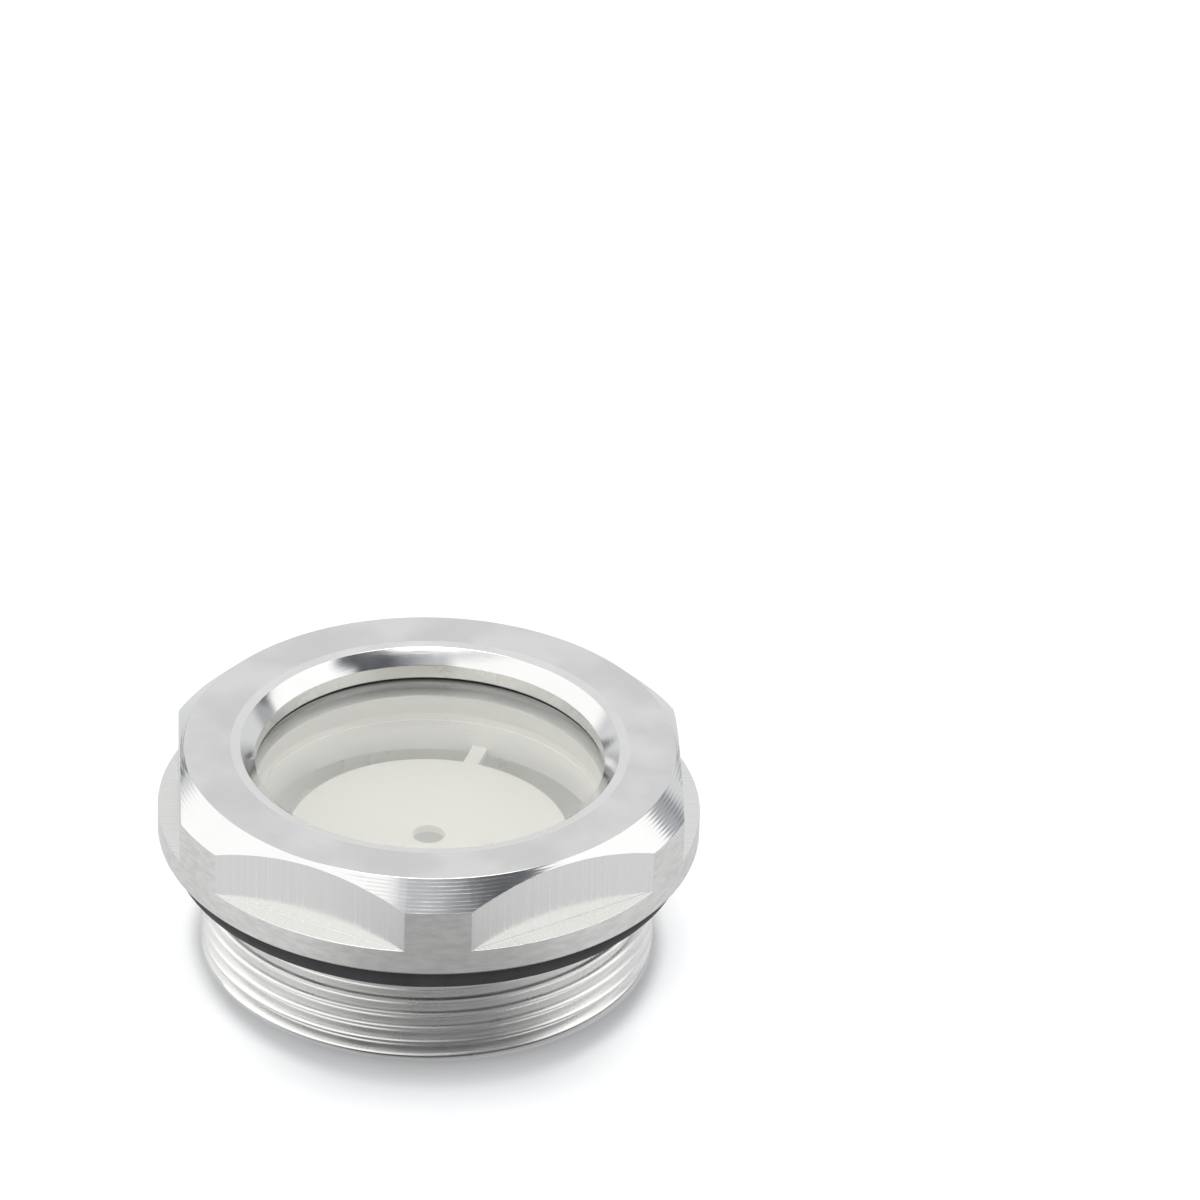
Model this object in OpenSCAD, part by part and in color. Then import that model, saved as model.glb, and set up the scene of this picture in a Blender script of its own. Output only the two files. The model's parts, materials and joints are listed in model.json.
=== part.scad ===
/* [Flange] */
// Outside diameter of the round flange
flange_d = 50; // [49:0.5:60]
// Height of the flange, from its seating face to its top face
flange_h = 8.9; // [8.5:0.1:12]
// Width across the flats that a spanner grips
hex_af = 46; // [45:0.5:49]
// Number of flats milled around the flange
flat_count = 6; // [4:2:8]
// Height of the full round collar left under the flats
collar_h = 2.5; // [1:0.1:5]
// Radial width of the chamfer around the top face
top_chamfer_w = 2.4; // [0.5:0.1:4]
// Height of the chamfer around the top face
top_chamfer_h = 2.3; // [0.5:0.1:4]
// Chamfer on the lower edge of the collar
collar_chamfer = 0.2; // [0.1:0.05:0.4]

/* [Spigot] */
// Major diameter of the external thread
thread_d = 42; // [40:0.5:43]
// Pitch of the external thread
thread_pitch = 1.5; // [1:0.25:2]
// Length of the spigot below the seating face
spigot_h = 12; // [8:0.5:20]
// Length of the plain neck between the thread and the flange
neck_h = 2.8; // [2.6:0.1:4]
// How far the neck lies below the thread's crests
neck_relief = 0.4; // [0.25:0.05:0.6]
// Chamfer at the spigot's lower end
end_chamfer = 0.85; // [0.4:0.05:1.2]
// Chamfer at the mouth of the oil recess
mouth_chamfer = 0.4; // [0.2:0.05:0.8]

/* [Flange O-ring] */
// Diameter of the ring's round section
ring_section = 3; // [2:0.1:3.2]
// How deep the ring's seat is turned into the flange
ring_seat_h = 0.4; // [0.2:0.05:0.8]
// How far the ring's inner edge lies inside the thread's crests, which keep it on
ring_grip = 0.05; // [0.02:0.01:0.2]
// Gap between the ring and the top of its seat
ring_gap = 0.05; // [0.02:0.01:0.1]
// Room outside the ring in its seat
ring_seat_room = 0.15; // [0.05:0.05:0.3]

/* [Window] */
// Diameter of the sight opening
sight_d = 32.2; // [27:0.2:35]
// Height of the lip that holds the glass, below the top face
lip_h = 2.65; // [2:0.05:4]
// Radial width of the chamfer inside the sight opening
sight_chamfer_w = 1.35; // [0.5:0.05:2]
// Height of the chamfer inside the sight opening
sight_chamfer_h = 1.2; // [0.5:0.05:1.5]
// Radial width of the fine turned edge around the sight opening
rim_edge_w = 0.9; // [0.3:0.1:1.2]
// Depth of the fine turned edge around the sight opening
rim_edge_h = 0.1; // [0.05:0.01:0.2]

/* [Glass] */
// Thickness of the glass disc
glass_t = 4; // [3:0.5:6]
// How far the glass disc reaches under the lip, all round
glass_lap = 1.7; // [1:0.05:2.1]
// Bevel ground on both edges of the glass disc
glass_bevel = 0.3; // [0.1:0.05:0.5]
// Radial gap between the glass disc and its bore
glass_gap = 0.1; // [0.05:0.05:0.3]
// Thickness of the flat seal between the lip and the glass
seal_t = 0.3; // [0.2:0.05:0.8]
// How far the seal's inner edge is set back from the lip
seal_setback = 0.1; // [0:0.05:0.5]

/* [Reflector] */
// Depth of the reflector cup, from the glass to its disc
cup_h = 5; // [3.5:0.1:7]
// Thickness of the cup's wall at the disc
cup_wall = 1.85; // [1.2:0.05:3]
// Draft of the cup's wall, from the disc to the step
cup_draft = 0.1; // [0:0.05:0.2]
// Height of the step inside the cup's wall, above the disc
cup_step_h = 2.4; // [1:0.1:3]
// Width of the step inside the cup's wall
cup_step_w = 0.15; // [0.05:0.05:0.3]
// Bevel on the outer top edge of the cup
cup_bevel = 0.1; // [0.05:0.05:0.4]
// Radial gap between the cup and the bore
cup_gap = 0.15; // [0.1:0.05:0.3]
// Diameter of the reflecting disc
disc_d = 26; // [16:0.5:29]
// Thickness of the reflecting disc and its spokes
disc_t = 0.8; // [0.5:0.1:1.5]
// Diameter of the hole in the middle of the disc
disc_hole_d = 3; // [1.5:0.1:5]
// Number of spokes that carry the disc
spoke_count = 3; // [2:1:6]
// Width of a spoke
spoke_w = 1.5; // [1:0.1:3]
// Direction of the first spoke, counted from +X
spoke_angle = 70.5; // [0:0.5:120]
// How far the snap bead stands out of the cup's wall
bead_h = 0.45; // [0.3:0.05:0.6]
// Steepness of the bead's upper side, which leads it into the bore
bead_lead = 2; // [1:0.25:3]
// Height of the flat crest of the snap bead
bead_crest = 0.5; // [0.3:0.05:0.8]
// Height of the bead's lower edge above the disc's underside
bead_rise = 1; // [0.6:0.1:1.5]
// Gap around the snap bead in its groove
bead_gap = 0.1; // [0.05:0.05:0.2]

/* [Hidden] */
$fn = 128;
// Overlap of a cutter past the face that it opens
over = 1;
// How far a spoke runs into the disc and into the cup's wall
spoke_root = 0.5;

flange_r = flange_d / 2;
thread_r = thread_d / 2;
neck_r = thread_r - neck_relief;
sight_r = sight_d / 2;
glass_d = sight_d + 2 * glass_lap;
glass_r = glass_d / 2;
bore_r = glass_r + glass_gap;

// Both chamfers at the spigot's end leave a third of its wall as a flat face
end_third = (thread_r - bore_r) / 3;
end_bevel = min(end_chamfer, end_third);
mouth_bevel = min(mouth_chamfer, end_third);

// Basic metric profile: a flat crest, two flanks that lean 30 degrees and a flat root
crest_w = thread_pitch / 8;
flank_w = thread_pitch * 5 / 16;
root_r = thread_r - flank_w / tan(30);

seat_z = spigot_h;
ledge_z = seat_z + collar_h;
top_z = seat_z + flange_h;
lip_z = top_z - lip_h;
glass_top_z = lip_z - seal_t;
glass_z = glass_top_z - glass_t;
disc_top_z = glass_z - cup_h;
disc_z = disc_top_z - disc_t;

ring_r = ring_section / 2;
ring_path_r = thread_r - ring_grip + ring_r;
ring_seat_z = seat_z + ring_seat_h;
ring_z = ring_seat_z - ring_gap - ring_r;
ring_seat_r = ring_path_r + ring_r + ring_seat_room;

thread_top_z = seat_z - neck_h;
turn_count = floor((thread_top_z - end_bevel - crest_w) / thread_pitch);
last_crest_z = end_bevel + turn_count * thread_pitch;

rim_r = sight_r + sight_chamfer_w;
rim_z = top_z - rim_edge_h;

cup_out_r = bore_r - cup_gap;
cup_in_r = cup_out_r - cup_wall;
step_r = cup_in_r + cup_draft;
step_z = disc_top_z + cup_step_h;
upper_r = step_r + cup_step_w;
disc_r = disc_d / 2;
bead_z = disc_z + bead_rise;
bead_r = cup_out_r + bead_h;
bead_top_z = bead_z + bead_h + bead_crest;
lead_top_z = bead_top_z + bead_lead * bead_h;
groove_r = bead_r + bead_gap;
groove_z = bead_z + bead_h - bead_gap;
groove_top_z = bead_top_z + bead_gap;
groove_d = groove_r - bore_r;

// Turns of the thread as rings, each a crest and the groove above it
thread_outline = [
  for (i = [0 : turn_count - 1])
    let (crest_z = end_bevel + i * thread_pitch)
      each [
        [thread_r, crest_z],
        [thread_r, crest_z + crest_w],
        [root_r, crest_z + crest_w + flank_w],
        [root_r, crest_z + thread_pitch - flank_w],
      ]
];

// Outline of the spigot below its thread
end_outline = [
  [bore_r + mouth_bevel, 0],
  [thread_r - end_bevel, 0],
];

// Outer outline of the body, from the last crest of the thread up to the top face
flange_outline = [
  [thread_r, last_crest_z],
  [thread_r, thread_top_z],
  [neck_r, thread_top_z + neck_relief],
  [neck_r, seat_z],
  [flange_r - collar_chamfer, seat_z],
  [flange_r, seat_z + collar_chamfer],
  [flange_r, top_z - top_chamfer_h],
  [flange_r - top_chamfer_w, top_z],
];

// Inner outline of the body, from the top face down through the bore
bore_outline = [
  [rim_r + rim_edge_w, top_z],
  [rim_r, rim_z],
  [sight_r, rim_z - sight_chamfer_h],
  [sight_r, lip_z],
  [bore_r, lip_z],
  [bore_r, groove_top_z + bead_lead * groove_d],
  [groove_r, groove_top_z],
  [groove_r, groove_z],
  [bore_r, groove_z - groove_d],
  [bore_r, mouth_bevel],
];

// Shallow recess around the neck that takes the top of the O-ring
module ring_seat() {
  translate([0, 0, seat_z - over])
    difference() {
      cylinder(h = ring_seat_h + over, r = ring_seat_r);
      translate([0, 0, -over])
        cylinder(h = ring_seat_h + 3 * over, r = neck_r);
    }
}

// What a milling cutter takes off beside one flat
module flat_cut() {
  translate([hex_af / 2, -flange_r, ledge_z])
    cube([flange_r, flange_d, flange_h]);
}

// Turned body with the flats milled down to the collar
module body() {
  color("silver")
    difference() {
      rotate_extrude()
        polygon(concat(end_outline, thread_outline, flange_outline, bore_outline));
      ring_seat();
      for (i = [0 : flat_count - 1])
        rotate([0, 0, i * 360 / flat_count])
          flat_cut();
    }
}

// Round rubber ring that seals the flange against the tank
module flange_o_ring() {
  color([0.12, 0.12, 0.13])
    rotate_extrude()
      translate([ring_path_r, ring_z])
        circle(ring_r);
}

// Thin flat ring between the lip and the glass
module glass_seal() {
  color([0.08, 0.08, 0.08])
    translate([0, 0, glass_top_z])
      difference() {
        cylinder(h = seal_t, r = glass_r);
        translate([0, 0, -over])
          cylinder(h = seal_t + 2 * over, r = sight_r + seal_setback);
      }
}

// Round pane with ground edges
module glass_disc() {
  color([0.85, 0.92, 0.9, 0.35])
    rotate_extrude()
      polygon([
        [0, glass_z],
        [glass_r - glass_bevel, glass_z],
        [glass_r, glass_z + glass_bevel],
        [glass_r, glass_top_z - glass_bevel],
        [glass_r - glass_bevel, glass_top_z],
        [0, glass_top_z],
      ]);
}

// Wall of the reflector cup, with its step inside and its snap bead outside
module cup_ring() {
  rotate_extrude()
    polygon([
      [cup_in_r, disc_z],
      [cup_out_r, disc_z],
      [cup_out_r, bead_z],
      [bead_r, bead_z + bead_h],
      [bead_r, bead_top_z],
      [cup_out_r, lead_top_z],
      [cup_out_r, glass_z - cup_bevel],
      [cup_out_r - cup_bevel, glass_z],
      [upper_r, glass_z],
      [upper_r, step_z],
      [step_r, step_z],
      [cup_in_r, disc_top_z],
    ]);
}

// Spokes that carry the disc across the slot that lets the oil in
module spokes() {
  for (i = [0 : spoke_count - 1])
    rotate([0, 0, spoke_angle + i * 360 / spoke_count])
      translate([disc_r - spoke_root, -spoke_w / 2, disc_z])
        cube([cup_in_r - disc_r + 2 * spoke_root, spoke_w, disc_t]);
}

// White cup that snaps into the bore below the glass
module reflector() {
  color("white")
    union() {
      cup_ring();
      spokes();
      difference() {
        translate([0, 0, disc_z])
          cylinder(h = disc_t, r = disc_r);
        translate([0, 0, disc_z - over])
          cylinder(h = disc_t + 2 * over, d = disc_hole_d);
      }
    }
}

body();
flange_o_ring();
glass_seal();
glass_disc();
reflector();
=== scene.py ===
# %% [markdown]
# Oil sight glass
#
# This lesson dresses a machined aluminium oil sight glass. The part screws into the wall of a tank.
# Through its round pane one sees a white cup, and the oil that stands in front of it. The frame below
# holds the exact solids, and every piece made here takes the place of one of them, with the finish of
# the real thing.

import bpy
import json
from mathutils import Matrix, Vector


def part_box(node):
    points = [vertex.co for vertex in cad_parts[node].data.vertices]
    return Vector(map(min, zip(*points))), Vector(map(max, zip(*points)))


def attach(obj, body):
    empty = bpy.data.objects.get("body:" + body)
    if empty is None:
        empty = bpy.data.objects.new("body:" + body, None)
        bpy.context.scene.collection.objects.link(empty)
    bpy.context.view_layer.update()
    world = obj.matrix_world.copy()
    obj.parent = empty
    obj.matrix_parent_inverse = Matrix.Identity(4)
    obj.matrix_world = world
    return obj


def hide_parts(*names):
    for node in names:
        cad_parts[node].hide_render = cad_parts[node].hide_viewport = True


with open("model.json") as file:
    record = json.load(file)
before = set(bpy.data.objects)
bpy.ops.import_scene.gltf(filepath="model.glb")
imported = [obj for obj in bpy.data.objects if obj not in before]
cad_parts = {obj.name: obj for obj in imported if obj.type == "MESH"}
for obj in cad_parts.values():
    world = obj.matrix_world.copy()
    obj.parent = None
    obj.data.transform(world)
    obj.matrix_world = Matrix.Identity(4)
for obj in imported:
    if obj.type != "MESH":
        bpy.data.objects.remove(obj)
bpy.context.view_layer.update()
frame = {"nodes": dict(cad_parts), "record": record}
print("nodes in the frame:", sorted(frame["nodes"]))

# %% [markdown]
# The main sizes are read from the solids, so a piece can't end up beside the part that it stands for.
# The smaller steps of an outline, such as chamfers and ledges, can't be read from a box, so they are
# named where they are first needed. All sizes are in metres, and MM turns millimetres into metres.

# %% Main sizes
import json
import math

import bmesh
import bpy
import numpy as np
from mathutils import Quaternion, Vector

MM = 0.001

body_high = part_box("body")[1]
ring_low, ring_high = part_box("flange_o_ring")
seal_low, seal_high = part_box("glass_seal")
glass_low, glass_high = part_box("glass_disc")
cup_low, cup_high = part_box("reflector")
thread_mount = next(m for m in frame["record"]["mounts"] if m["name"] == "thread")

flange_r = body_high.x
top_z = body_high.z
thread_r = thread_mount["dims"]["r_mm"] * MM
glass_r = glass_high.x
bead_r = cup_high.x
print(f"flange {flange_r / MM:.2f} mm, thread {thread_r / MM:.2f} mm, top face at {top_z / MM:.2f} mm")

# %% [markdown]
# A turned part is an outline that runs once round an axis. Real edges are never quite sharp: the tool
# or a brush leaves a tiny round that catches the light as a bright line. A Bevel modifier could add it
# later, but on the outline it is exact. The helper always gives the same number of points, so outlines
# that differ a little from one angle to the next can still be joined by faces.

# %% Rounding the corners of an outline
ROUND_STEPS = 4
ROOM_SHARE = 0.45
NO_ROOM = 1e-7


def rounded(outline, radius):
    """The outline with an arc of that radius at each inner corner, or a smaller one where room is short."""
    points = [np.array(outline[0])]
    for before, corner, after in zip(outline, outline[1:], outline[2:]):
        before, corner, after = np.array(before), np.array(corner), np.array(after)
        back, ahead = before - corner, after - corner
        back_length, ahead_length = np.linalg.norm(back), np.linalg.norm(ahead)
        room = ROOM_SHARE * min(back_length, ahead_length)
        if room < NO_ROOM:
            points += [corner] * (ROUND_STEPS + 1)
            continue
        back, ahead = back / back_length, ahead / ahead_length
        half_turn = math.acos(np.clip(back @ ahead, -1, 1)) / 2
        cut = min(radius / math.tan(half_turn), room)
        start, end = corner + back * cut, corner + ahead * cut
        for step in range(ROUND_STEPS + 1):
            t = step / ROUND_STEPS
            points.append((1 - t) ** 2 * start + 2 * t * (1 - t) * corner + t**2 * end)
    points.append(np.array(outline[-1]))
    return np.array(points)


print(f"each corner becomes an arc of {ROUND_STEPS} steps")

# %% [markdown]
# Pieces are built from columns of points with four-sided faces between them. Where columns meet, points
# lie double, and a face's front depends on the order of its points. Glass and bump need a closed mesh
# whose faces point outwards, so every mesh is merged, cleaned and turned the right way by one helper.

# %% Mesh helpers
MERGE = 0.002 * MM
NO_AREA = MERGE / 10


def new_object(name, points, faces):
    """A new object in the scene from points and faces."""
    mesh = bpy.data.meshes.new(name)
    mesh.from_pydata([tuple(p) for p in points], [], faces)
    piece = bpy.data.objects.new(name, mesh)
    bpy.context.scene.collection.objects.link(piece)
    return piece


def in_plane(outline, angle):
    """Points of an outline of (radius, height) in the plane through the axis at that angle."""
    return [(r * math.cos(angle), r * math.sin(angle), z) for r, z in outline]


def column_faces(columns, rows, start=0):
    """Four-sided faces between neighbouring columns of points, counted from the point start."""
    faces = []
    for column in range(columns - 1):
        for row in range(rows - 1):
            a = start + column * rows + row
            faces.append((a, a + 1, a + rows + 1, a + rows))
    return faces


def clean(piece, smooth_angle):
    """Merges doubles, drops empty faces, turns faces outwards and marks edges past the angle sharp."""
    shape = bmesh.new()
    shape.from_mesh(piece.data)
    bmesh.ops.remove_doubles(shape, verts=shape.verts, dist=MERGE)
    bmesh.ops.dissolve_degenerate(shape, edges=shape.edges, dist=NO_AREA)
    wires = [e for e in shape.edges if not e.link_faces]
    bmesh.ops.delete(shape, geom=wires, context="EDGES")
    loose = [v for v in shape.verts if not v.link_faces]
    bmesh.ops.delete(shape, geom=loose, context="VERTS")
    bmesh.ops.recalc_face_normals(shape, faces=shape.faces)
    for face in shape.faces:
        face.smooth = True
    shape.to_mesh(piece.data)
    shape.free()
    piece.data.set_sharp_from_angle(angle=math.radians(smooth_angle))


def bake(piece, modifier):
    """Keeps what the modifier makes as the piece's own plain mesh and removes the modifier."""
    evaluated = piece.evaluated_get(bpy.context.evaluated_depsgraph_get())
    mesh = bpy.data.meshes.new_from_object(evaluated)
    piece.modifiers.remove(modifier)
    piece.data = mesh


def report(piece):
    """Prints how big and how sound a mesh is."""
    shape = bmesh.new()
    shape.from_mesh(piece.data)
    open_edges = sum(1 for e in shape.edges if len(e.link_faces) != 2)
    triangles = sum(len(f.verts) - 2 for f in shape.faces)
    volume = shape.calc_volume() / MM**3
    print(f"{piece.name}: {triangles} triangles, {open_edges} open edges, volume {volume:.0f} mm3")
    shape.free()


print(f"points closer than {MERGE / MM} mm are merged")

# %% [markdown]
# Shapes that follow a rule, finishes and the sky are all trees of nodes here. They are often wired by
# hand in the editor, but a script can build them too. One small class adds a node and fills its
# sockets, with a plain value or with a link from another node.

# %% A class that adds nodes


class NodeMaker:
    """Adds nodes to a node tree and fills their sockets."""

    def __init__(self, node_tree):
        self.nodes, self.links = node_tree.nodes, node_tree.links

    def node(self, kind, sockets, **settings):
        node = self.nodes.new(kind)
        for key, value in settings.items():
            setattr(node, key, value)
        for key, value in sockets.items():
            if isinstance(value, bpy.types.NodeSocket):
                self.links.new(value, node.inputs[key])
            else:
                node.inputs[key].default_value = value
        return node

    def math(self, operation, *values):
        return self.node("ShaderNodeMath", dict(enumerate(values)), operation=operation).outputs[0]


print("a socket takes a value or a link")

# %% [markdown]
# Geometry Nodes make what repeats or follows a rule. The tree's sizes are named inputs, so anyone can
# change them. The class below keeps the identifier of each input, because a modifier sets its inputs by
# identifier and not by name.

# %% A class for Geometry Nodes trees


class Tree(NodeMaker):
    """A Geometry Nodes tree with named inputs, built node by node."""

    def __init__(self, name):
        self.group = bpy.data.node_groups.new(name, "GeometryNodeTree")
        super().__init__(self.group)
        self.group.interface.new_socket("Geometry", in_out="OUTPUT", socket_type="NodeSocketGeometry")
        self.identifiers = {}
        self.entry = self.nodes.new("NodeGroupInput")

    def input(self, name, kind):
        socket = self.group.interface.new_socket(name, in_out="INPUT", socket_type="NodeSocket" + kind)
        self.identifiers[name] = socket.identifier
        return self.entry.outputs[name]

    def finish(self, geometry, merge, material):
        """Ends the tree: instances become real, seams are merged and the material is set."""
        real = self.node("GeometryNodeRealizeInstances", {"Geometry": geometry})
        whole = self.node("GeometryNodeMergeByDistance", {"Geometry": real.outputs[0], "Distance": merge})
        dressed = self.node("GeometryNodeSetMaterial", {"Geometry": whole.outputs[0], "Material": material})
        self.node("NodeGroupOutput", {"Geometry": dressed.outputs[0]})


def apply_tree(piece, tree, values):
    """Runs the tree on the piece with these input values and keeps the result as a plain mesh."""
    modifier = piece.modifiers.new(tree.group.name, "NODES")
    modifier.node_group = tree.group
    for name, value in values.items():
        modifier[tree.identifiers[name]] = value
    bake(piece, modifier)
    print(f"{piece.name}: {len(piece.data.polygons)} faces after {tree.group.name}")


print("trees are built by the script and baked to plain meshes")

# %% [markdown]
# The flange has the same sixth six times and the cup the same third three times. One sector is modelled,
# and this tree repeats it around the axis: it puts a point for each copy at the origin, turns an instance
# of the sector at each, makes the instances real and merges the seams.

# %% A tree that repeats a sector around the axis


def repeat_tree():
    tree = Tree("repeat around the axis")
    sector = tree.input("Sector", "Geometry")
    count = tree.input("Count", "Int")
    merge = tree.input("Merge Distance", "Float")
    material = tree.input("Material", "Material")
    points = tree.node("GeometryNodePoints", {"Count": count})
    index = tree.node("GeometryNodeInputIndex", {})
    turn = tree.math("DIVIDE", tree.math("MULTIPLY", index.outputs[0], math.tau), count)
    rotation = tree.node("FunctionNodeAxisAngleToRotation", {"Axis": (0, 0, 1), "Angle": turn})
    copies = tree.node(
        "GeometryNodeInstanceOnPoints",
        {"Points": points.outputs[0], "Instance": sector, "Rotation": rotation.outputs[0]},
    )
    tree.finish(copies.outputs[0], merge, material)
    return tree


repeat_around = repeat_tree()
print("inputs:", list(repeat_around.identifiers))

# %% [markdown]
# Materials are node trees as well. This class adds what shader trees need, for the pieces, the table and
# the sky. A ramp turns one range of numbers into another with a soft start and end, which is what most
# finishes need: noise in, roughness or colour out.

# %% A class for shader trees


class NodePainter(NodeMaker):
    """Builds a shader tree node by node."""

    def __init__(self, node_tree):
        super().__init__(node_tree)
        self.coordinates = self.nodes.new("ShaderNodeTexCoord")

    def ramp(self, value, low, high, start=0.0, end=1.0):
        """A smooth step from low to high while the value goes from start to end."""
        sockets = {"Value": value, "From Min": start, "From Max": end, "To Min": low, "To Max": high}
        return self.node("ShaderNodeMapRange", sockets, interpolation_type="SMOOTHSTEP").outputs["Result"]

    def apart(self, x, y, azimuth):
        """How far the direction (x, y) lies from that azimuth, in radians."""
        return self.math("PINGPONG", self.math("SUBTRACT", self.math("ARCTAN2", y, x), azimuth), math.pi)

    def tint(self, value, dark, light):
        """A colour from dark to light."""
        mix = self.node("ShaderNodeMix", {"Factor": value}, data_type="RGBA")
        mix.inputs[6].default_value = (*dark, 1)
        mix.inputs[7].default_value = (*light, 1)
        return mix.outputs[2]

    def blend(self, share, first, second):
        """One shader that turns into another as the share goes from 0 to 1."""
        sockets = {0: share, 1: first.outputs[0], 2: second.outputs[0]}
        return self.node("ShaderNodeMixShader", sockets)


print("shader trees are built by the script")

# %% [markdown]
# A finish is a Principled shader with marks. A lathe leaves fine rings, which follow the distance from
# the axis on level faces and the height on round ones, so the noise runs along a mix of both. A milling
# cutter leaves straight marks. Every pattern reads Object coordinates or the piece's own map, so it
# stays on the metal whichever way the part is turned.

# %% A class for finishes
HEIGHT_SHARE = 0.6
NOISE_SPREAD = 0.3, 0.7


class Finish(NodePainter):
    """A node material with one Principled shader."""

    def __init__(self, name, **constants):
        self.material = bpy.data.materials.new(name)
        self.material.use_nodes = True
        super().__init__(self.material.node_tree)
        self.shader = self.nodes["Principled BSDF"]
        for key, value in constants.items():
            self.shader.inputs[key.replace("_", " ")].default_value = value

    def place(self):
        """The place on the piece as x, y, height and distance from the axis, in metres."""
        split = self.node("ShaderNodeSeparateXYZ", {"Vector": self.coordinates.outputs["Object"]})
        x, y, height = split.outputs
        flat = self.node("ShaderNodeCombineXYZ", {"X": x, "Y": y, "Z": 0.0})
        length = self.node("ShaderNodeVectorMath", {0: flat.outputs[0]}, operation="LENGTH")
        return x, y, height, length.outputs["Value"]

    def turned_marks(self, width, length, detail=2.0):
        """Noise in rings around the axis, of about that width, which change slowly along their length."""
        x, y, height, radius = self.place()
        across = self.math("SUBTRACT", radius, self.math("MULTIPLY", height, HEIGHT_SHARE))
        sockets = {
            "X": self.math("DIVIDE", x, length),
            "Y": self.math("DIVIDE", y, length),
            "Z": self.math("DIVIDE", across, width),
        }
        ring = self.node("ShaderNodeCombineXYZ", sockets)
        sockets = {"Vector": ring.outputs[0], "Scale": 1.0, "Detail": detail}
        return self.node("ShaderNodeTexNoise", sockets).outputs["Fac"]

    def feed_marks(self, pitch, start, end):
        """An even wave along the distance from the axis, which fades in from start to end."""
        radius = self.place()[3]
        wave = self.math("SINE", self.math("MULTIPLY", radius, math.tau / pitch))
        return self.math("MULTIPLY", wave, self.ramp(radius, 0.0, 1.0, start, end))

    def line_noise(self, along, size, detail):
        """Noise that changes along one number only, with marks of about that size."""
        sockets = {"W": along, "Scale": 1 / size, "Detail": detail}
        return self.node("ShaderNodeTexNoise", sockets, noise_dimensions="1D").outputs["Fac"]

    def cloud(self, size, detail=3.0):
        """Noise in all directions, with spots of about that size."""
        sockets = {"Vector": self.coordinates.outputs["Object"], "Scale": 1 / size, "Detail": detail}
        return self.node("ShaderNodeTexNoise", sockets).outputs["Fac"]

    def set(self, name, value):
        self.links.new(value, self.shader.inputs[name])

    def coat(self, pattern, dark, light, smooth, rough, spread=NOISE_SPREAD):
        """Colour and roughness that follow one pattern."""
        self.set("Base Color", self.tint(pattern, dark, light))
        self.set("Roughness", self.ramp(pattern, smooth, rough, *spread))

    def bump(self, height, depth, under=None):
        """Marks of that depth, laid over the marks under them."""
        sockets = {"Height": height, "Distance": depth}
        if under:
            sockets["Normal"] = under
        normal = self.node("ShaderNodeBump", sockets).outputs["Normal"]
        self.set("Normal", normal)
        return normal

    def show(self, shader):
        """Puts another shader in front of the Principled one."""
        self.links.new(shader.outputs[0], self.nodes["Material Output"].inputs["Surface"])


print("finishes read Object coordinates and UV")

# %% [markdown]
# The body is one bar of aluminium, but each cut on the lathe has its own sheen. The top face is satin
# with faint smudges from handling. The round wall of the collar is duller, with short streaks. The
# chamfers were cut last, with a sharp tool and an even feed: they are nearly mirrors with fine steps.
# The narrow edge round the window is finer than the top face. Four small functions share the class.

# %% Turned aluminium


def satin_turned():
    finish = Finish("satin_turned_aluminium", Metallic=1.0)
    smudge = finish.ramp(finish.cloud(7 * MM), 0.0, 1.0, 0.35, 0.65)
    finish.coat(smudge, (0.68, 0.68, 0.675), (0.74, 0.74, 0.73), 0.34, 0.4, spread=(0.0, 1.0))
    rings = finish.bump(finish.turned_marks(width=0.12 * MM, length=5 * MM), 0.012 * MM)
    finish.bump(finish.cloud(0.15 * MM), 0.008 * MM, rings)
    return finish.material


def matte_turned():
    finish = Finish("matte_turned_aluminium", Metallic=1.0)
    smudge = finish.cloud(5 * MM)
    marks = finish.turned_marks(width=0.25 * MM, length=1.5 * MM)
    streaks = finish.ramp(marks, 0.0, 1.0, *NOISE_SPREAD)
    finish.set("Base Color", finish.tint(streaks, (0.72, 0.72, 0.7), (0.82, 0.82, 0.8)))
    finish.set("Roughness", finish.ramp(smudge, 0.34, 0.42, *NOISE_SPREAD))
    rings = finish.bump(finish.turned_marks(width=0.07 * MM, length=2 * MM), 0.006 * MM)
    finish.bump(finish.cloud(0.14 * MM), 0.02 * MM, rings)
    return finish.material


def bright_turned():
    finish = Finish("bright_turned_aluminium", Metallic=1.0)
    finish.coat(finish.cloud(3 * MM), (0.74, 0.742, 0.74), (0.79, 0.792, 0.79), 0.08, 0.14)
    feed = finish.bump(finish.feed_marks(pitch=0.26 * MM, start=19 * MM, end=21 * MM), 0.003 * MM)
    finish.bump(finish.turned_marks(width=0.1 * MM, length=2 * MM), 0.003 * MM, feed)
    return finish.material


def rim_turned():
    finish = Finish("fine_turned_rim", Metallic=1.0)
    finish.coat(finish.cloud(4 * MM), (0.78, 0.78, 0.77), (0.83, 0.83, 0.82), 0.25, 0.33)
    finish.bump(finish.turned_marks(width=0.12 * MM, length=5 * MM), 0.005 * MM)
    return finish.material


satin, matte, bright, rim = satin_turned(), matte_turned(), bright_turned(), rim_turned()
print("turned:", satin.name, matte.name, bright.name, rim.name)

# %% [markdown]
# The flats were milled with the side of a cutter, so their marks stand upright and run along the flat.
# A map made later gives the distance along each flat, and noise along that one number makes the marks.
# The thread and the bore were cut fresh and never handled. Their metal is paler, and the thread's
# crests are paler still than its flanks, because they rub against things.

# %% Milled and freshly cut aluminium


def milled_flat():
    finish = Finish("milled_aluminium", Metallic=1.0)
    split = finish.node("ShaderNodeSeparateXYZ", {"Vector": finish.coordinates.outputs["UV"]})
    marks = finish.line_noise(split.outputs["X"], size=0.3 * MM, detail=3.0)
    finish.coat(marks, (0.74, 0.74, 0.725), (0.88, 0.88, 0.865), 0.18, 0.28)
    finish.bump(marks, 0.004 * MM)
    return finish.material


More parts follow.
